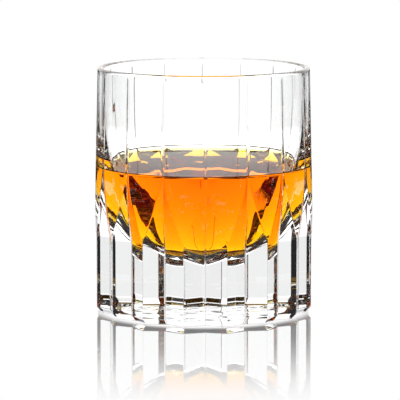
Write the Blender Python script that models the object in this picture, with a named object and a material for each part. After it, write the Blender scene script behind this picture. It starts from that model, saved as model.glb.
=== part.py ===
"""Cut-crystal whiskey tumbler holding a pour of whiskey.

The tumbler is one turned blank of crystal, rotation-symmetric about Z, with sixteen vertical mitre
cuts. A mitre cut is a V groove. Each cut is a fine line below the lip, deepens on its way down, and
in the solid base the cuts are deep enough to meet each other in sharp ridges. At the foot they run
inwards, which bevels the heel. The whiskey is a separate body that fills the lower part of the bowl.

Units are metres. +Z is up, the origin is the centre of the foot, and one cut faces -Y.
"""
import math

import bmesh
import bpy

# Driving dimensions
HEIGHT = 0.0950             # foot to rim
LIP_RADIUS = 0.0410         # outside of the plain lip
LIP_THICKNESS = 0.0022      # wall at the rim, rounded all the way over
CUTS = 16                   # mitre cuts round the wall
RIDGE_RADIUS = 0.0424       # ridges between the cuts, in the base
VALLEY_RADIUS = 0.0392      # bottoms of the cuts, in the base
FLOOR_HEIGHT = 0.0188       # thickness of the solid base under the middle of the bowl
LIQUID_HEIGHT = 0.0551      # flat surface of the whiskey

# The blank's outer side is a cone that stands slightly proud of the ridges in the base.
BLANK_PROUD = 0.00015
# The bowl is a superellipse with one power across and one down: two of 2 would be an ellipse.
BOWL_POWER_ACROSS = 1.7
BOWL_POWER_DOWN = 3.6

# Path of a cut, from the foot up
HEEL_HEIGHT = 0.0022        # below this the cut runs inwards
HEEL_INSET = 0.0020         # how far it runs in at the foot
FULL_DEPTH_TOP = 0.0306     # up to here the cut has its full depth
LINE_BOTTOM = 0.0570        # from here up it is a fine line
LINE_DEPTH = 0.0002         # depth of that line
LINE_TOP = 0.0922           # here the line starts to run out
RUNOUT_TOP = 0.0934         # here it has left the glass
RUNOUT_CLEARANCE = 0.00015  # how far outside the glass the cut ends
EASE_POWER = 1.7            # how the depth grows from the line to the full cut

# Underside: a shallow recess inside a flat foot ring
RECESS_RADIUS = 0.0280
RECESS_EDGE = 0.0015        # width of the slope at its edge
RECESS_DEPTH = 0.0006

# Whiskey
LIQUID_GAP = 0.0003         # clearance that keeps the two solids apart
MENISCUS_RISE = 0.0018      # how far the surface climbs the glass
MENISCUS_WIDTH = 0.0040     # how far from the glass it starts to climb

# Facets of these solids
TURN_SEGMENTS = 64
BOWL_STEPS = 15
LIP_STEPS = 6
EASE_STEPS = 7
MENISCUS_STEPS = 4
CUTTER_HALF_WIDTH = 0.0100
CUTTER_OUTER_RADIUS = 0.0500
CUTTER_OVERRUN = 0.0010     # how far a cutter reaches below the foot


def clear_scene():
    """Remove every object, so that the script can be run again."""
    for obj in list(bpy.data.objects):
        bpy.data.objects.remove(obj, do_unlink=True)


def make_material(name, colour, roughness, ior):
    """Return a clear Principled material that lets light through."""
    material = bpy.data.materials.new(name)
    material.use_nodes = True
    shader = material.node_tree.nodes["Principled BSDF"]
    shader.inputs["Base Color"].default_value = (*colour, 1.0)
    shader.inputs["Metallic"].default_value = 0.0
    shader.inputs["Roughness"].default_value = roughness
    shader.inputs["IOR"].default_value = ior
    shader.inputs["Transmission Weight"].default_value = 1.0
    return material


def blank_radius(height):
    """Outer radius of the uncut blank: a straight cone from the lip down to the foot."""
    foot_of_taper = RIDGE_RADIUS + BLANK_PROUD
    share = (HEIGHT - height) / (HEIGHT - FULL_DEPTH_TOP)
    return LIP_RADIUS + (foot_of_taper - LIP_RADIUS) * share


def bowl_radius(height):
    """Radius of the bowl at a height, from its superellipse."""
    rim_height = HEIGHT - LIP_THICKNESS / 2.0
    drop = (rim_height - height) / (rim_height - FLOOR_HEIGHT)
    left = max(1.0 - min(drop, 1.0) ** BOWL_POWER_DOWN, 0.0)
    return (LIP_RADIUS - LIP_THICKNESS) * left ** (1.0 / BOWL_POWER_ACROSS)


def recess_profile():
    """Half section of the underside's recess, from the middle out to the foot ring."""
    return [(0.0, RECESS_DEPTH), (RECESS_RADIUS - RECESS_EDGE, RECESS_DEPTH), (RECESS_RADIUS, 0.0)]


def lip_profile():
    """Half section of the rim: a half circle from the outer side over to the bowl."""
    half = LIP_THICKNESS / 2.0
    points = []
    for step in range(LIP_STEPS + 1):
        angle = math.pi * step / LIP_STEPS
        points.append((LIP_RADIUS - half + half * math.cos(angle),
                       HEIGHT - half + half * math.sin(angle)))
    return points


def bowl_profile():
    """Half section of the bowl below the rim, ending on the axis."""
    rim_height = HEIGHT - LIP_THICKNESS / 2.0
    points = []
    for step in range(1, BOWL_STEPS + 1):
        drop = math.sin(math.pi / 2.0 * step / BOWL_STEPS)
        height = rim_height - (rim_height - FLOOR_HEIGHT) * drop
        points.append((bowl_radius(height), height))
    points[-1] = (0.0, FLOOR_HEIGHT)
    return points


def turn(name, profile):
    """Turn a half section, given as (radius, height) from axis to axis, into a closed solid."""
    mesh = bmesh.new()
    start = math.pi / TURN_SEGMENTS
    verts = [mesh.verts.new((radius * math.cos(start), radius * math.sin(start), height))
             for radius, height in profile]
    edges = [mesh.edges.new(pair) for pair in zip(verts, verts[1:])]
    bmesh.ops.spin(mesh, geom=verts + edges, cent=(0.0, 0.0, 0.0), axis=(0.0, 0.0, 1.0),
                   angle=math.tau, steps=TURN_SEGMENTS, use_merge=True)
    bmesh.ops.remove_doubles(mesh, verts=mesh.verts, dist=1e-6)
    bmesh.ops.recalc_face_normals(mesh, faces=mesh.faces)
    return add_object(name, mesh)


def add_object(name, mesh):
    """Put a bmesh into the scene as an object."""
    data = bpy.data.meshes.new(name)
    mesh.to_mesh(data)
    mesh.free()
    obj = bpy.data.objects.new(name, data)
    bpy.context.scene.collection.objects.link(obj)
    return obj


def cut_path():
    """Bottom line of one cut as (radius, height), from below the foot to the run-out at the lip."""
    inwards = HEEL_INSET / HEEL_HEIGHT
    path = [(VALLEY_RADIUS - inwards * (HEEL_HEIGHT + CUTTER_OVERRUN), -CUTTER_OVERRUN),
            (VALLEY_RADIUS, HEEL_HEIGHT)]
    full_depth = blank_radius(FULL_DEPTH_TOP) - VALLEY_RADIUS
    for step in range(EASE_STEPS + 1):
        share = 1.0 - step / EASE_STEPS
        height = LINE_BOTTOM - (LINE_BOTTOM - FULL_DEPTH_TOP) * share
        depth = LINE_DEPTH + (full_depth - LINE_DEPTH) * share ** EASE_POWER
        path.append((blank_radius(height) - depth, height))
    path.append((blank_radius(LINE_TOP) - LINE_DEPTH, LINE_TOP))
    path.append((blank_radius(RUNOUT_TOP) + RUNOUT_CLEARANCE, RUNOUT_TOP))
    return path


def add_cutter(mesh, azimuth):
    """Add one V-shaped cutting wedge to a bmesh, its edge following the path of the cut."""
    half_turn = math.pi / CUTS
    rise = ((RIDGE_RADIUS * math.cos(half_turn) - VALLEY_RADIUS)
            / (RIDGE_RADIUS * math.sin(half_turn)))
    side = CUTTER_HALF_WIDTH
    rings = []
    for radius, height in cut_path():
        shoulder = radius + rise * side
        section = [(radius, 0.0), (shoulder, side), (CUTTER_OUTER_RADIUS, side),
                   (CUTTER_OUTER_RADIUS, -side), (shoulder, -side)]
        rings.append([mesh.verts.new((out * math.cos(azimuth) - across * math.sin(azimuth),
                                      out * math.sin(azimuth) + across * math.cos(azimuth),
                                      height)) for out, across in section])
    for lower, upper in zip(rings, rings[1:]):
        for index in range(len(lower)):
            following = (index + 1) % len(lower)
            mesh.faces.new((lower[index], lower[following], upper[following], upper[index]))
    mesh.faces.new(rings[0][::-1])
    mesh.faces.new(rings[-1])


def cutter_set(name, first):
    """Every second cutting wedge, as one hidden object.

    Neighbouring cuts meet at the ridges, so the two sets are cut one after the other.
    """
    mesh = bmesh.new()
    for index in range(first, CUTS, 2):
        add_cutter(mesh, -math.pi / 2.0 + math.tau * index / CUTS)
    bmesh.ops.recalc_face_normals(mesh, faces=mesh.faces)
    cutter = add_object(name, mesh)
    cutter.hide_render = True
    cutter.display_type = "WIRE"
    return cutter


def shade(obj):
    """Shade the turned surfaces smooth and keep the edges of the cuts sharp."""
    obj.data.shade_smooth()
    obj.data.set_sharp_from_angle(angle=math.radians(8.0))


def make_tumbler():
    """The crystal: a turned blank with its sixteen cuts."""
    foot_edge = (blank_radius(0.0), 0.0)
    tumbler = turn("glass_tumbler",
                   recess_profile() + [foot_edge] + lip_profile() + bowl_profile())
    tumbler.data.materials.append(make_material("crystal", (0.97, 0.98, 0.98), 0.02, 1.52))
    for name, first in (("even_cuts", 0), ("odd_cuts", 1)):
        cut = tumbler.modifiers.new(name, "BOOLEAN")
        cut.operation = "DIFFERENCE"
        cut.solver = "EXACT"
        cut.object = cutter_set(name, first)
    shade(tumbler)
    return tumbler


def liquid_profile():
    """Half section of the whiskey: the bowl drawn in by the gap, the meniscus, the flat surface."""
    top = LIQUID_HEIGHT + MENISCUS_RISE
    bowl = [(bowl_radius(top), top)]
    bowl += [point for point in bowl_profile() if point[1] < top - LIQUID_GAP]
    points = [(0.0, FLOOR_HEIGHT + LIQUID_GAP)]
    for after, point, before in zip(bowl[::-1], bowl[-2::-1], bowl[-3::-1]):
        across, down = after[0] - before[0], after[1] - before[1]
        share = LIQUID_GAP / math.hypot(across, down)
        points.append((point[0] + down * share, point[1] - across * share))
    edge = bowl[0][0] - 1.1 * LIQUID_GAP
    for step in range(MENISCUS_STEPS + 1):
        share = step / MENISCUS_STEPS
        points.append((edge - MENISCUS_WIDTH * share,
                       LIQUID_HEIGHT + MENISCUS_RISE * (1.0 - share) ** 2))
    points.append((0.0, LIQUID_HEIGHT))
    return points


def make_whiskey():
    """The whiskey, a separate body in the bowl."""
    whiskey = turn("whiskey", liquid_profile())
    whiskey.data.materials.append(make_material("whiskey", (0.95, 0.38, 0.03), 0.02, 1.36))
    shade(whiskey)
    return whiskey


def main():
    """Build the tumbler and its whiskey."""
    clear_scene()
    make_tumbler()
    make_whiskey()


main()
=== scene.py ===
"""Looks of a cut-crystal whiskey tumbler that holds a pour of whiskey.

The tumbler is one closed surface of crystal: a turned blank whose wall carries sixteen vertical
mitre cuts. The whiskey is a second closed surface that wets the bowl. Both are worked out as whole
arrays, ring by ring, and stand in for the plain solids of the frame. Everything is in metres, +Z up.
"""
import logging
import math
from dataclasses import dataclass, field
from enum import Enum

import bpy
import numpy as np
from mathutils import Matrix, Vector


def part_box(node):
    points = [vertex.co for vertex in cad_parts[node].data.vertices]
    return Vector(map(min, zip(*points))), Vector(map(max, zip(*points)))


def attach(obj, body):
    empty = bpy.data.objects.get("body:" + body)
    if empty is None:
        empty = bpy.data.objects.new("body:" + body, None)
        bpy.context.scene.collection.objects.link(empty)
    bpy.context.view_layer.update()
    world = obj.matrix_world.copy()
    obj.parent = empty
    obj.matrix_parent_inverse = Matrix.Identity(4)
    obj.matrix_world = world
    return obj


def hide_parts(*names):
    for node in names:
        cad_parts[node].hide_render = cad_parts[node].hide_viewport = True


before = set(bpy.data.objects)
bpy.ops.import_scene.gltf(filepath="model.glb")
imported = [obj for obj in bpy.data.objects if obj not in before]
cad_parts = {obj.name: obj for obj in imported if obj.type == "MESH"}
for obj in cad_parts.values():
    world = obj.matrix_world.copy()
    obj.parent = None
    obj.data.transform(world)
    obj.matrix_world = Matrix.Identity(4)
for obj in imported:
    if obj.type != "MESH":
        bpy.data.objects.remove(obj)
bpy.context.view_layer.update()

LOG = logging.getLogger("tumbler")
BODY = "root"
MM = 0.001
NEVER = 0.5      # depths are whole numbers: below this a ray has done it no times
ONCE = 1.5       # and below this at most once
THROUGH = 2.5    # above this a ray has crossed three surfaces or more, as through the drink


class Node(Enum):
    """The solids of the frame that the finished pieces stand for."""

    TUMBLER = "glass_tumbler"
    WHISKEY = "whiskey"


class Slot(Enum):
    """The material slots of the record."""

    CRYSTAL = "crystal"
    WHISKEY = "whiskey"


def soft_max(one: np.ndarray, other: np.ndarray | float, width: float) -> np.ndarray:
    """Larger of two values, rounded over where they meet.

    It is the mean of the two plus half the square root of their difference squared plus the
    width squared, so it stands a half width above the corner and closes in on it on both sides.

    Args:
        one: First values.
        other: Second values.
        width: Width of the rounding, in the unit of the values.

    Returns:
        The rounded maximum.
    """
    return 0.5 * (one + other + np.sqrt((one - other) ** 2 + width ** 2))


def soft_min(one: np.ndarray, other: np.ndarray | float, width: float) -> np.ndarray:
    """Smaller of two values, rounded over where they meet, as the mirror of soft_max.

    Args:
        one: First values.
        other: Second values.
        width: Width of the rounding, in the unit of the values.

    Returns:
        The rounded minimum.
    """
    return -soft_max(-one, -other, width)


def cosine_steps(count: int) -> np.ndarray:
    """Values from 0 to 1 that crowd towards both ends: half of one minus the cosine.

    Args:
        count: Number of intervals.

    Returns:
        count + 1 values.
    """
    return 0.5 - 0.5 * np.cos(np.pi * np.arange(count + 1) / count)


def closed_surface(name: str, radius: np.ndarray, azimuth: np.ndarray, height: np.ndarray,
                   first_pole: float, last_pole: float) -> bpy.types.Object:
    """Make a closed mesh out of rings, capped by a fan at a pole on the axis at each end.

    A point of a ring is (radius cos azimuth, radius sin azimuth, height). Rings follow each other
    from the first pole, up the outside, and back down the inside to the last pole.

    Args:
        name: Name of the object.
        radius: Radii, one row for each ring and one column for each point round it.
        azimuth: Azimuths in radians, in the same layout, growing along each row.
        height: Heights, in the same layout.
        first_pole: Height of the pole that the first ring closes to.
        last_pole: Height of the pole that the last ring closes to.

    Returns:
        The object, smooth shaded, at the origin.
    """
    rings, columns = radius.shape
    points = np.stack((radius * np.cos(azimuth), radius * np.sin(azimuth), height), axis=-1)
    poles = np.array([[0.0, 0.0, first_pole], [0.0, 0.0, last_pole]])
    vertices = np.concatenate((points.reshape(-1, 3), poles))
    index = np.arange(rings * columns).reshape(rings, columns)
    following = np.roll(index, -1, axis=1)
    quads = np.stack((index[:-1], following[:-1], following[1:], index[1:]), axis=-1)
    first, last = rings * columns, rings * columns + 1
    lower_fan = np.stack((np.full(columns, first), following[0], index[0]), axis=-1)
    upper_fan = np.stack((np.full(columns, last), index[-1], following[-1]), axis=-1)
    mesh = bpy.data.meshes.new(name)
    mesh.from_pydata(vertices.tolist(), [],
                     quads.reshape(-1, 4).tolist() + lower_fan.tolist() + upper_fan.tolist())
    mesh.validate()
    mesh.shade_smooth()
    obj = bpy.data.objects.new(name, mesh)
    bpy.context.scene.collection.objects.link(obj)
    return obj


@dataclass(frozen=True)
class Bowl:
    """The turned inside of the tumbler, a superellipse from the rim down to the floor."""

    rim_height: float
    rim_radius: float
    floor_height: float = 18.8 * MM
    power_across: float = 1.7
    power_down: float = 3.6

    def heights(self, steps: int) -> np.ndarray:
        """Heights of rings from the rim to the floor, closing up towards the floor.

        The drop below the rim is the depth of the bowl times the sine of an angle that grows
        evenly to a quarter turn.

        Args:
            steps: Number of intervals.

        Returns:
            steps + 1 heights.
        """
        drop = np.sin(np.linspace(0.0, math.pi / 2.0, steps + 1))
        return self.rim_height - (self.rim_height - self.floor_height) * drop

    def radius_at(self, height: np.ndarray | float) -> np.ndarray:
        """Radius of the bowl at a height.

        With the drop below the rim as a share of the depth, the radius is the rim radius times
        (1 - drop ^ power down) ^ (1 / power across).

        Args:
            height: Heights between the floor and the rim.

        Returns:
            Radii.
        """
        drop = np.clip((self.rim_height - height) / (self.rim_height - self.floor_height), 0.0, 1.0)
        return self.rim_radius * (1.0 - drop ** self.power_down) ** (1.0 / self.power_across)


@dataclass(frozen=True)
class CrystalFinish:
    """Polished crystal, clear and very slightly uneven under the polish."""

    tint: tuple[float, float, float] = (0.985, 0.99, 0.99)
    roughness: float = 0.0
    ior: float = 1.52
    ripple_scale: float = 60.0
    ripple_height: float = 0.00001

    def material(self) -> bpy.types.Material:
        """Build the material: a clear dielectric whose normal wavers with a faint noise.

        Returns:
            The node material.
        """
        material = clear_material("polished_crystal", self.tint, self.roughness, self.ior)
        add_ripple(material, self.ripple_scale, self.ripple_height)
        return material


@dataclass(frozen=True)
class WhiskeyFinish:
    """Amber spirit: clear at the surface, coloured by what the light passes through."""

    ior: float = 1.36
    passes: tuple[float, float, float] = (1.0, 0.904, 0.0)
    strength: float = 320.0
    ripple_scale: float = 40.0
    ripple_height: float = 0.00001

    def material(self) -> bpy.types.Material:
        """Build the material: a clear dielectric filled with an absorbing volume.

        Returns:
            The node material.
        """
        material = clear_material("amber_whiskey", (1.0, 1.0, 1.0), 0.0, self.ior)
        add_ripple(material, self.ripple_scale, self.ripple_height)
        nodes, links = material.node_tree.nodes, material.node_tree.links
        absorb = nodes.new("ShaderNodeVolumeAbsorption")
        absorb.inputs["Color"].default_value = (*self.passes, 1.0)
        absorb.inputs["Density"].default_value = self.strength
        links.new(absorb.outputs["Volume"], nodes["Material Output"].inputs["Volume"])
        return material


def new_material(name: str) -> tuple[bpy.types.Material, bpy.types.Nodes, bpy.types.NodeLinks,
                                     bpy.types.ShaderNode]:
    """Start a node material.

    Args:
        name: Name of the material.

    Returns:
        The material, its nodes, its links and its Principled shader.
    """
    material = bpy.data.materials.new(name)
    material.use_nodes = True
    tree = material.node_tree
    return material, tree.nodes, tree.links, tree.nodes["Principled BSDF"]


def clear_material(name: str, tint: tuple[float, float, float], roughness: float,
                   ior: float) -> bpy.types.Material:
    """Start a material that refracts the light and lets it through.

    Args:
        name: Name of the material.
        tint: Colour of the light at each crossing.
        roughness: Roughness of the surface.
        ior: Index of refraction.

    Returns:
        The material.
    """
    material, _, _, shader = new_material(name)
    shader.inputs["Base Color"].default_value = (*tint, 1.0)
    shader.inputs["Roughness"].default_value = roughness
    shader.inputs["IOR"].default_value = ior
    shader.inputs["Transmission Weight"].default_value = 1.0
    return material


def add_ripple(material: bpy.types.Material, scale: float, height: float) -> None:
    """Let the normal of a material waver with a soft noise of its place on the piece.

    Args:
        material: Material with a Principled shader.
        scale: Waves to a metre.
        height: Height of the waves in metres.
    """
    nodes, links = material.node_tree.nodes, material.node_tree.links
    place = nodes.new("ShaderNodeTexCoord")
    ripple = nodes.new("ShaderNodeTexNoise")
    ripple.inputs["Scale"].default_value = scale
    ripple.inputs["Detail"].default_value = 1.0
    bump = nodes.new("ShaderNodeBump")
    bump.inputs["Strength"].default_value = 1.0
    bump.inputs["Distance"].default_value = height
    links.new(place.outputs["Object"], ripple.inputs["Vector"])
    links.new(ripple.outputs["Fac"], bump.inputs["Height"])
    links.new(bump.outputs["Normal"], nodes["Principled BSDF"].inputs["Normal"])


@dataclass
class CrystalTumbler:
    """The glass: outside with its cuts, rounded lip, bowl, foot ring and shallow recess."""

    height: float
    lip_radius: float = 41.0 * MM
    lip_thickness: float = 2.2 * MM
    cuts: int = 16
    ridge_radius: float = 42.4 * MM
    valley_radius: float = 39.2 * MM
    blank_proud: float = 0.15 * MM
    heel_height: float = 2.2 * MM
    heel_inset: float = 2.0 * MM
    full_depth_top: float = 30.6 * MM
    line_bottom: float = 57.0 * MM
    line_depth: float = 0.2 * MM
    line_top: float = 92.2 * MM
    runout_top: float = 93.4 * MM
    runout_clearance: float = 0.15 * MM
    ease_power: float = 1.7
    recess_radius: float = 28.0 * MM
    recess_edge: float = 1.5 * MM
    recess_depth: float = 0.6 * MM
    wave_height: float = 0.09 * MM
    wave_length: float = 14.0 * MM
    foot_round: float = 0.3 * MM
    bite_half_width: float = 0.22 * MM
    bite_slope: float = 0.8
    valley_round: float = 0.04 * MM
    ridge_round: float = 0.10 * MM
    edge_round: float = 0.03 * MM
    path_round: float = 0.10 * MM
    finish: CrystalFinish = field(default_factory=CrystalFinish)
    facet_columns: int = 8
    land_columns: int = 5
    recess_rings: int = 40
    lip_rings: int = 15
    bowl_rings: int = 48
    bowl: Bowl = field(init=False)

    def __post_init__(self) -> None:
        """Work out the bowl from the lip."""
        half = self.lip_thickness / 2.0
        self.bowl = Bowl(self.height - half, self.lip_radius - self.lip_thickness)

    def blank(self, height: np.ndarray | float) -> np.ndarray | float:
        """Outer radius of the uncut blank, a straight cone that widens towards the foot."""
        share = (self.height - height) / (self.height - self.full_depth_top)
        return self.lip_radius + (self.ridge_radius + self.blank_proud - self.lip_radius) * share

    def valley(self, height: np.ndarray) -> np.ndarray:
        """Radius of the bottom line of a cut at each height.

        From the lip down, the line leaves the glass, runs at a small even depth, then deepens as a
        power of the distance below its start, holds the valley radius of the base, and turns in
        at the heel. Each turn of the path is rounded.

        Args:
            height: Heights above the foot.

        Returns:
            Radii.
        """
        below = np.clip((self.line_bottom - height) / (self.line_bottom - self.full_depth_top),
                        0.0, None)
        full = self.blank(self.full_depth_top) - self.valley_radius
        depth = self.line_depth + (full - self.line_depth) * below ** self.ease_power
        slope = (self.line_depth + self.runout_clearance) / (self.runout_top - self.line_top)
        depth = depth - soft_max(slope * (height - self.line_top), 0.0, 0.2 * self.path_round)
        radius = soft_max(self.blank(height) - depth, self.valley_radius, self.path_round)
        inwards = self.heel_inset / self.heel_height
        return radius - soft_max(inwards * (self.heel_height - height), 0.0, self.path_round)

    def columns(self, edge: np.ndarray) -> np.ndarray:
        """Angles from the valley to the ridge for each ring: first the cut's face, then the land.

        Args:
            edge: Angle at which the face ends, one for each ring.

        Returns:
            Angles, one row for each ring.
        """
        half_pitch = math.pi / self.cuts
        bite = self.bite_half_width / self.valley_radius
        groove = np.broadcast_to(bite * np.linspace(0.0, 1.0, 5)[None, :-1], (len(edge), 4))
        face = bite + (edge[:, None] - bite) * cosine_steps(self.facet_columns)[None, :]
        land = edge[:, None] + (half_pitch - edge[:, None]) * cosine_steps(self.land_columns)[None, 1:]
        return np.concatenate((groove, face, land), axis=1)

    def wall(self, angle: np.ndarray, height: np.ndarray) -> np.ndarray:
        """Radius of the cut wall at an angle from the valley.

        A face of a cut is the plane through the valley line that climbs by a fixed rise for each
        step sideways, so its radius is valley / (cos angle - rise |sin angle|). The wall is the
        smaller of that and the blank. The valley and the ridge are rounded by replacing the
        absolute value of the distance to them with a square root.

        Args:
            angle: Angles from the valley, at most half the pitch of the cuts.
            height: Heights, in a shape that matches.

        Returns:
            Radii.
        """
        half_pitch = math.pi / self.cuts
        rise = ((self.ridge_radius * math.cos(half_pitch) - self.valley_radius)
                / (self.ridge_radius * math.sin(half_pitch)))
        ridge_width = self.ridge_round / self.ridge_radius
        valley_width = self.valley_round / self.valley_radius
        turned = half_pitch - np.sqrt((half_pitch - angle) ** 2 + ridge_width ** 2)
        sideways = np.sqrt(np.sin(turned) ** 2 + valley_width ** 2)
        face = self.valley(height) / (np.cos(turned) - rise * sideways)
        bite = self.bite_slope * (self.bite_half_width - self.valley_radius * sideways)
        face = face - soft_max(bite, 0.0, 0.2 * self.valley_round)
        return soft_min(face, self.blank(height), self.edge_round)

    def edge_angle(self, height: np.ndarray) -> np.ndarray:
        """Angle from the valley at which a face of the cut runs out on the blank.

        It solves the face's plane against the circle of the blank, and stays between a thin
        line and the ridge.

        Args:
            height: Heights above the foot.

        Returns:
            Angles in radians.
        """
        half_pitch = math.pi / self.cuts
        rise = ((self.ridge_radius * math.cos(half_pitch) - self.valley_radius)
                / (self.ridge_radius * math.sin(half_pitch)))
        valley, blank = self.valley(height), self.blank(height)
        inside = (rise * valley) ** 2 + (1.0 + rise ** 2) * np.clip(blank ** 2 - valley ** 2, 0.0, None)
        across = (np.sqrt(inside) - rise * valley) / (1.0 + rise ** 2)
        angle = np.arctan2(across, valley + rise * across)
        thinnest = 1.6 * self.bite_half_width / self.valley_radius
        return np.clip(angle, thinnest, half_pitch - 2.0 * self.ridge_round / self.ridge_radius)

    def wall_heights(self) -> np.ndarray:
        """Heights of the rings up the outside, close together where the path of a cut turns."""
        marks = (self.foot_round, self.heel_height * 0.6, self.heel_height * 1.5,
                 self.full_depth_top * 0.85, self.full_depth_top * 1.08, self.line_bottom,
                 self.line_top - 0.6 * MM, self.runout_top + 0.4 * MM,
                 self.height - self.lip_thickness / 2.0)
        counts = (4, 8, 4, 8, 24, 5, 8, 2)
        spans = [np.linspace(low, high, count, endpoint=False)
                 for low, high, count in zip(marks, marks[1:], counts)]
        return np.concatenate(spans + [np.array(marks[-1:])])

    def build(self) -> bpy.types.Object:
        """Build the tumbler as one closed surface.

        Rings run from the middle of the recess out over the foot ring, up the cut wall, over the
        half circle of the lip and down the bowl to its floor.

        Returns:
            The finished piece.
        """
        heights = self.wall_heights()
        edge = self.edge_angle(heights)
        wall_angle = self.columns(edge)
        wall_radius = self.wall(wall_angle, heights[:, None])
        foot_angle, foot_radius, foot_height = self._foot(wall_angle[0])
        even = self.columns(np.array([math.pi / self.cuts * 0.6]))[0]
        lip_angle, lip_radius, lip_height = self._lip(wall_angle[-1], even)
        bowl_height = self.bowl.heights(self.bowl_rings)[1:-1]
        bowl_radius = self.bowl.radius_at(bowl_height)
        shape = (len(bowl_radius), len(even))
        angle = np.concatenate((foot_angle, wall_angle, lip_angle, np.broadcast_to(even, shape)))
        radius = np.concatenate((foot_radius, wall_radius, lip_radius,
                                 np.broadcast_to(bowl_radius[:, None], shape)))
        height = np.concatenate((foot_height, np.broadcast_to(heights[:, None], wall_angle.shape),
                                 lip_height, np.broadcast_to(bowl_height[:, None], shape)))
        radius, azimuth, height = self._all_round(radius, angle, height)
        foot = slice(0, len(foot_radius))
        height[foot] += self.waves(radius[foot], azimuth[foot])
        piece = closed_surface("cut_crystal_tumbler", radius, azimuth, height,
                               height[0].mean(), self.bowl.floor_height)
        return self._dress(piece)

    def waves(self, radius: np.ndarray, azimuth: np.ndarray) -> np.ndarray:
        """Unevenness of the recess under the foot, which is left as it came from the fire.

        Eight even waves that cross at different angles, each a little shorter than the one
        before, are summed. They die out at the edge of the recess.

        Args:
            radius: Radii.
            azimuth: Azimuths in radians.

        Returns:
            Heights to add to the smooth recess.
        """
        order = np.arange(8)[:, None, None]
        heading = 2.4 * order
        along = radius * np.cos(azimuth - heading)
        waves = np.sin(math.tau * along / (self.wave_length * (1.2 - 0.1 * order)) + order ** 2)
        inside = np.clip((self.recess_radius - radius) / (2.0 * self.recess_edge), 0.0, 1.0)
        return self.wave_height * inside * waves.sum(axis=0) / 2.0

    def _foot(self, angle: np.ndarray) -> tuple[np.ndarray, np.ndarray, np.ndarray]:
        """Rings from the middle of the recess, over the flat foot, to its rounded outer edge.

        The outer edge is a quarter circle below the first ring of the wall, and the edge of the
        recess is a smooth step.

        Args:
            angle: Angles of the wall's first ring.

        Returns:
            Angles, radii and heights of the rings.
        """
        outline = self.wall(angle, np.full(angle.shape, self.foot_round))
        inner_edge = outline - self.foot_round
        recess = self.recess_radius * np.linspace(0.0, 1.0, self.recess_rings + 1)[1:, None]
        recess_radius = np.broadcast_to(recess, (self.recess_rings, len(angle)))
        step = np.clip((self.recess_radius - recess_radius) / self.recess_edge, 0.0, 1.0)
        recess_height = self.recess_depth * step ** 2 * (3.0 - 2.0 * step)
        rest = np.linspace(0.0, 1.0, 5)[1:-1, None]
        flat_radius = self.recess_radius + (inner_edge[None, :] - self.recess_radius) * rest
        turn = np.linspace(0.0, math.pi / 2.0, 6)[:-1, None]
        round_radius = inner_edge[None, :] + self.foot_round * np.sin(turn)
        round_height = np.broadcast_to(self.foot_round * (1.0 - np.cos(turn)), round_radius.shape)
        radius = np.concatenate((recess_radius, flat_radius, round_radius))
        height = np.concatenate((recess_height, np.zeros(flat_radius.shape), round_height))
        return np.broadcast_to(angle, radius.shape), radius, height

    def _lip(self, below: np.ndarray, even: np.ndarray) -> tuple[np.ndarray, np.ndarray, np.ndarray]:
        """Rings of the lip's half circle, while the columns even out from the wall's to the bowl's.

        Args:
            below: Angles of the wall's last ring.
            even: Angles of the bowl's rings.

        Returns:
            Angles, radii and heights of the rings.
        """
        half = self.lip_thickness / 2.0
        turn = np.linspace(0.0, math.pi, self.lip_rings + 1)[1:, None]
        angle = below + (even - below) * (0.5 - 0.5 * np.cos(turn))
        radius = np.broadcast_to(self.lip_radius - half + half * np.cos(turn), angle.shape)
        return angle, radius, np.broadcast_to(self.height - half + half * np.sin(turn), angle.shape)

    def _all_round(self, radius: np.ndarray, angle: np.ndarray,
                   height: np.ndarray) -> tuple[np.ndarray, np.ndarray, np.ndarray]:
        """Repeat the half of one cut from valley to ridge, mirrored and turned, for every cut.

        Args:
            radius: Radii from the valley to the ridge.
            angle: Angles from the valley to the ridge.
            height: Heights.

        Returns:
            Radii, azimuths and heights of whole rings.
        """
        mirrored = slice(-2, 0, -1)
        one_angle = np.concatenate((-angle[:, mirrored], angle), axis=1)
        one_radius = np.concatenate((radius[:, mirrored], radius), axis=1)
        one_height = np.concatenate((height[:, mirrored], height), axis=1)
        centres = -math.pi / 2.0 + math.tau * np.arange(self.cuts) / self.cuts
        azimuth = (one_angle[:, None, :] + centres[None, :, None]).reshape(len(angle), -1)
        return np.tile(one_radius, (1, self.cuts)), azimuth, np.tile(one_height, (1, self.cuts))

    def _dress(self, piece: bpy.types.Object) -> bpy.types.Object:
        """Give the piece its finish and its place on the frame."""
        piece.data.materials.append(self.finish.material())
        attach(piece, BODY)
        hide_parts(Node.TUMBLER.value)
        return piece


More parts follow.
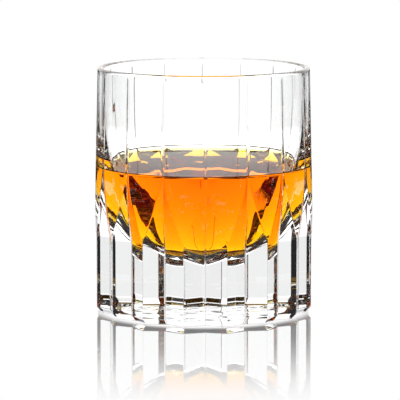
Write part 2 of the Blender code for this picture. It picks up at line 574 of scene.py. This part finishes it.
@dataclass
class Whiskey:
    """The pour: it wets the bowl, and its surface climbs the glass in a meniscus."""

    bowl: Bowl
    surface: float
    rise: float = 1.8 * MM
    capillary_length: float = 1.8 * MM
    wetting: float = 0.05 * MM
    columns: int = 256
    finish: WhiskeyFinish = field(default_factory=WhiskeyFinish)

    def meniscus(self, steps: int) -> tuple[np.ndarray, np.ndarray]:
        """Outline of the meniscus, the balance of surface tension and weight at a wall.

        With heights measured in capillary lengths, the distance from a point of height h is
        arccosh(2 / h) - sqrt(4 - h squared), less the same at the wall.

        Args:
            steps: Number of points, from the wall inwards.

        Returns:
            Distances from the wall and heights above the flat surface.
        """
        climb = self.rise / self.capillary_length * np.geomspace(1.0, 0.004, steps)
        reach = np.arccosh(2.0 / climb) - np.sqrt(4.0 - climb ** 2)
        return (reach - reach[0]) * self.capillary_length, climb * self.capillary_length

    def build(self) -> bpy.types.Object:
        """Build the whiskey as one closed surface: up the bowl, then in over the meniscus.

        Its side lies a hair inside the glass, so that light passes from one straight to the other.

        Returns:
            The finished piece.
        """
        top = self.surface + self.rise
        floor = self.bowl.floor_height
        side_height = floor + (top - floor) * (1.0 - np.cos(np.linspace(0.0, math.pi / 2.0, 70)[1:]))
        side_radius = self.bowl.radius_at(side_height) + self.wetting
        inwards, climb = self.meniscus(30)
        curved_radius = side_radius[-1] - inwards[1:]
        flat_radius = np.linspace(curved_radius[-1], 0.0, 12)[1:-1]
        radius = np.concatenate((side_radius, curved_radius, flat_radius))
        height = np.concatenate((side_height, self.surface + climb[1:],
                                 np.full(len(flat_radius), self.surface)))
        azimuth = math.tau * np.arange(self.columns) / self.columns
        shape = (len(radius), self.columns)
        piece = closed_surface("amber_whiskey", np.broadcast_to(radius[:, None], shape),
                               np.broadcast_to(azimuth, shape),
                               np.broadcast_to(height[:, None], shape),
                               floor - self.wetting, self.surface)
        piece.data.materials.append(self.finish.material())
        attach(piece, BODY)
        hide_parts(Node.WHISKEY.value)
        return piece


@dataclass(frozen=True)
class Backdrop:
    """Where the surroundings are bright, as seen through and in the glass.

    The light is staged: its strength depends on how often a ray was reflected and how many
    surfaces it crossed. White behind the glass and dark to its sides for reflected rays draws
    dark edges into clear glass, and a brighter table for rays through the drink makes it glow.
    """

    white_half_angle: float = 33.0
    softness: float = 6.0
    shade: tuple[float, float, float] = (0.022, 0.021, 0.023)
    penumbra: tuple[float, float, float] = (0.45, 0.46, 0.49)
    close_light: float = 0.96
    card_light: float = 2.2
    far_light: float = 1.25
    card_end: tuple[float, float] = (0.24, 0.34)
    far_start: tuple[float, float] = (0.36, 0.50)
    far_side: float = 0.66
    far_fade: tuple[float, float] = (80.0, 15.0)

    def ramp(self, tree: bpy.types.NodeTree, value: bpy.types.NodeSocket, start: float,
             end: float) -> bpy.types.NodeSocket:
        """Smooth step of a value: 0 at the start and 1 at the end, which may be the smaller.

        Args:
            tree: Node tree to add to.
            value: Value to map.
            start: Value that gives 0.
            end: Value that gives 1.

        Returns:
            The mapped value.
        """
        node = tree.nodes.new("ShaderNodeMapRange")
        node.interpolation_type = "SMOOTHSTEP"
        flip = start > end
        for name, setting in (("From Min", min(start, end)), ("From Max", max(start, end)),
                              ("To Min", float(flip)), ("To Max", float(not flip))):
            node.inputs[name].default_value = setting
        tree.links.new(value, node.inputs["Value"])
        return node.outputs["Result"]

    def math(self, tree: bpy.types.NodeTree, operation: str, *values: bpy.types.NodeSocket | float
             ) -> bpy.types.NodeSocket:
        """Add a math node.

        Args:
            tree: Node tree to add to.
            operation: Name of the operation.
            values: Its inputs, sockets or constants.

        Returns:
            Its result.
        """
        node = tree.nodes.new("ShaderNodeMath")
        node.operation = operation
        for socket, value in zip(node.inputs, values):
            if isinstance(value, (int, float)):
                socket.default_value = value
            else:
                tree.links.new(value, socket)
        return node.outputs[0]

    def turn(self, tree: bpy.types.NodeTree, vector: bpy.types.NodeSocket
             ) -> tuple[bpy.types.NodeSocket, bpy.types.NodeSocket]:
        """Angle of a direction or place from straight behind the glass, and its height.

        Args:
            tree: Node tree to add to.
            vector: Direction or place, measured from the glass.

        Returns:
            The angle in radians without its sign, and the upward part of the vector.
        """
        parts = tree.nodes.new("ShaderNodeSeparateXYZ")
        tree.links.new(vector, parts.inputs[0])
        turn = self.math(tree, "ARCTAN2", parts.outputs["X"], parts.outputs["Y"])
        return self.math(tree, "ABSOLUTE", turn), parts.outputs["Z"]

    def sector(self, tree: bpy.types.NodeTree, turn: bpy.types.NodeSocket,
               paths: bpy.types.ShaderNode) -> bpy.types.NodeSocket:
        """White within an angle of the back, and all round for light that nothing reflected.

        Args:
            tree: Node tree to add to.
            turn: Angle from straight behind the glass.
            paths: Light Path node of the tree.

        Returns:
            Whiteness from 0 to 1.
        """
        half, soft = math.radians(self.white_half_angle), math.radians(self.softness)
        back = self.ramp(tree, turn, half + soft, half - soft)
        direct = self.math(tree, "LESS_THAN", paths.outputs["Glossy Depth"], NEVER)
        return self.math(tree, "MAXIMUM", back, direct)

    def mix(self, tree: bpy.types.NodeTree, share: bpy.types.NodeSocket,
            one: bpy.types.NodeSocket | float, other: bpy.types.NodeSocket | float
            ) -> bpy.types.NodeSocket:
        """Blend two values.

        Args:
            tree: Node tree to add to.
            share: Share of the second value.
            one: First value.
            other: Second value.

        Returns:
            The blend.
        """
        change = self.math(tree, "SUBTRACT", other, one)
        return self.math(tree, "MULTIPLY_ADD", change, share, one)

    def table_light(self, tree: bpy.types.NodeTree, place: bpy.types.NodeSocket,
                    radius: bpy.types.NodeSocket, paths: bpy.types.ShaderNode) -> bpy.types.ShaderNode:
        """Light of the table top: brighter for light that has crossed the drink, soft far away.

        Args:
            tree: Node tree to add to.
            place: Place on the table, measured from the glass.
            radius: Distance from the glass.
            paths: Light Path node of the tree.

        Returns:
            The emission node.
        """
        turn, _ = self.turn(tree, place)
        fade, end = (math.radians(angle) for angle in self.far_fade)
        far_white = self.mix(tree, self.ramp(tree, turn, fade, end), self.far_side, 1.0)
        far = self.ramp(tree, radius, *self.far_start)
        side = self.mix(tree, far, 1.0, far_white)
        white = self.math(tree, "MULTIPLY", self.sector(tree, turn, paths), side)
        deep = self.math(tree, "GREATER_THAN", paths.outputs["Transmission Depth"], THROUGH)
        strength = self.mix(tree, deep, self.close_light, self.card_light)
        past = self.ramp(tree, radius, *self.card_end)
        strength = self.mix(tree, past, strength, self.far_light)
        glow = tree.nodes.new("ShaderNodeEmission")
        tree.links.new(self.tint(tree, white), glow.inputs["Color"])
        tree.links.new(strength, glow.inputs["Strength"])
        return glow

    def tint(self, tree: bpy.types.NodeTree, whiteness: bpy.types.NodeSocket) -> bpy.types.NodeSocket:
        """Colour for a whiteness: from the shade through a cool grey to white."""
        node = tree.nodes.new("ShaderNodeValToRGB")
        stops = node.color_ramp.elements
        stops[0].color, stops[1].color = (*self.shade, 1.0), (1.0, 1.0, 1.0, 1.0)
        middle = stops.new(0.5)
        middle.color = (*self.penumbra, 1.0)
        tree.links.new(whiteness, node.inputs["Fac"])
        return node.outputs["Color"]


@dataclass
class Studio:
    """A white table with a faint mirror finish, white surroundings, and the camera."""

    floor_half_size: float = 3.0
    mirror: float = 0.8
    mirror_start: float = 38.0 * MM
    mirror_near: float = 46.0 * MM
    mirror_far: float = 190.0 * MM
    sky_bright: float = 0.32
    sky_dark: float = 0.50
    top_dark: float = 0.86
    top_bright: float = 0.95
    backdrop: Backdrop = field(default_factory=Backdrop)
    camera_azimuth: float = -0.8
    camera_elevation: float = 7.88
    camera_distance: float = 1.043
    aim_height: float = 42.86 * MM
    aim_left: float = 1.43 * MM
    lens: float = 241.1

    def build(self) -> None:
        """Build the floor, the light and the camera."""
        self._floor()
        self._world()
        self._camera()

    def _floor(self) -> None:
        """A flat white table top that mirrors the foot of the glass and fades to plain white."""
        half = self.floor_half_size
        mesh = bpy.data.meshes.new("table_top")
        mesh.from_pydata([(-half, -half, 0.0), (half, -half, 0.0), (half, half, 0.0),
                          (-half, half, 0.0)], [], [(0, 1, 2, 3)])
        floor = bpy.data.objects.new("table_top", mesh)
        floor.location.z = -0.05 * MM
        bpy.context.scene.collection.objects.link(floor)
        material, nodes, links, shader = new_material("white_table")
        nodes.remove(shader)
        tree, drop = material.node_tree, self.backdrop
        place, paths = nodes.new("ShaderNodeTexCoord"), nodes.new("ShaderNodeLightPath")
        length = nodes.new("ShaderNodeVectorMath")
        length.operation = "LENGTH"
        links.new(place.outputs["Object"], length.inputs[0])
        radius = length.outputs["Value"]
        seen = nodes.new("ShaderNodeEmission")
        glow = drop.table_light(tree, place.outputs["Object"], radius, paths)
        through = nodes.new("ShaderNodeMixShader")
        nothing = nodes.new("ShaderNodeEmission")
        nothing.inputs["Strength"].default_value = 0.0
        links.new(paths.outputs["Is Transmission Ray"], through.inputs["Fac"])
        links.new(nothing.outputs[0], through.inputs[1])
        links.new(glow.outputs[0], through.inputs[2])
        gloss = nodes.new("ShaderNodeBsdfGlossy")
        gloss.inputs["Roughness"].default_value = 0.01
        fade = drop.math(tree, "MULTIPLY", drop.ramp(tree, radius, self.mirror_far, self.mirror_near),
                         drop.ramp(tree, radius, self.mirror_start, self.mirror_near))
        fade = drop.math(tree, "MULTIPLY", fade, self.mirror)
        table = nodes.new("ShaderNodeMixShader")
        links.new(fade, table.inputs["Fac"])
        links.new(seen.outputs[0], table.inputs[1])
        links.new(gloss.outputs[0], table.inputs[2])
        choose = nodes.new("ShaderNodeMixShader")
        links.new(paths.outputs["Is Camera Ray"], choose.inputs["Fac"])
        links.new(through.outputs[0], choose.inputs[1])
        links.new(table.outputs[0], choose.inputs[2])
        links.new(choose.outputs[0], nodes["Material Output"].inputs["Surface"])
        mesh.materials.append(material)

    def _world(self) -> None:
        """White near the horizon, dark above it, with a soft light straight overhead.

        Light that entered no glass sees white everywhere. Light that was reflected once, and
        crossed fewer than three surfaces, sees white all round near the horizon.
        """
        world = bpy.data.worlds.new("white_room")
        bpy.context.scene.world = world
        world.use_nodes = True
        tree, drop = world.node_tree, self.backdrop
        nodes, links = tree.nodes, tree.links
        background = nodes["Background"]
        place, paths = nodes.new("ShaderNodeTexCoord"), nodes.new("ShaderNodeLightPath")
        turn, rise = drop.turn(tree, place.outputs["Generated"])
        white = drop.sector(tree, turn, paths)
        once = drop.math(tree, "LESS_THAN", paths.outputs["Glossy Depth"], ONCE)
        clear = drop.math(tree, "LESS_THAN", paths.outputs["Transmission Depth"], THROUGH)
        white = drop.math(tree, "MAXIMUM", white, drop.math(tree, "MULTIPLY", once, clear))
        white = drop.math(tree, "MULTIPLY", white, drop.ramp(tree, rise, self.sky_dark, self.sky_bright))
        white = drop.math(tree, "MAXIMUM", white, drop.ramp(tree, rise, self.top_dark, self.top_bright))
        straight = drop.math(tree, "LESS_THAN", paths.outputs["Transmission Depth"], NEVER)
        white = drop.math(tree, "MAXIMUM", white, straight)
        links.new(drop.tint(tree, white), background.inputs["Color"])
        strength = drop.mix(tree, paths.outputs["Is Camera Ray"], drop.far_light, 1.0)
        links.new(strength, background.inputs["Strength"])

    def _camera(self) -> None:
        """A long lens a little above the rim, aimed just beside the axis."""
        data = bpy.data.cameras.new("camera")
        data.lens = self.lens
        data.sensor_width = 36.0
        data.clip_start = 0.01
        data.clip_end = 100.0
        camera = bpy.data.objects.new("camera", data)
        bpy.context.scene.collection.objects.link(camera)
        azimuth, elevation = math.radians(self.camera_azimuth), math.radians(self.camera_elevation)
        back = np.array([math.sin(azimuth) * math.cos(elevation),
                         -math.cos(azimuth) * math.cos(elevation), math.sin(elevation)])
        right = np.array([math.cos(azimuth), math.sin(azimuth), 0.0])
        aim = np.array([0.0, 0.0, self.aim_height]) - right * self.aim_left
        camera.location = aim + back * self.camera_distance
        camera.rotation_euler = (math.pi / 2.0 - elevation, 0.0, azimuth)
        bpy.context.scene.camera = camera


def main() -> None:
    """Build the tumbler, the whiskey and the studio, and note the size of the result."""
    logging.basicConfig(level=logging.INFO, format="%(name)s: %(message)s")
    _, tumbler_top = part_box(Node.TUMBLER.value)
    _, whiskey_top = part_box(Node.WHISKEY.value)
    tumbler = CrystalTumbler(height=tumbler_top.z)
    piece = tumbler.build()
    LOG.info("%s: %d faces", piece.name, len(piece.data.polygons))
    whiskey = Whiskey(tumbler.bowl, surface=whiskey_top.z - Whiskey.rise)
    piece = whiskey.build()
    LOG.info("%s: %d faces", piece.name, len(piece.data.polygons))
    Studio().build()
    scene = bpy.context.scene
    scene.view_settings.view_transform = "Standard"
    scene.cycles.max_bounces = 32
    scene.cycles.transmission_bounces = 32
    scene.cycles.glossy_bounces = 16


if __name__ == "__main__":
    main()
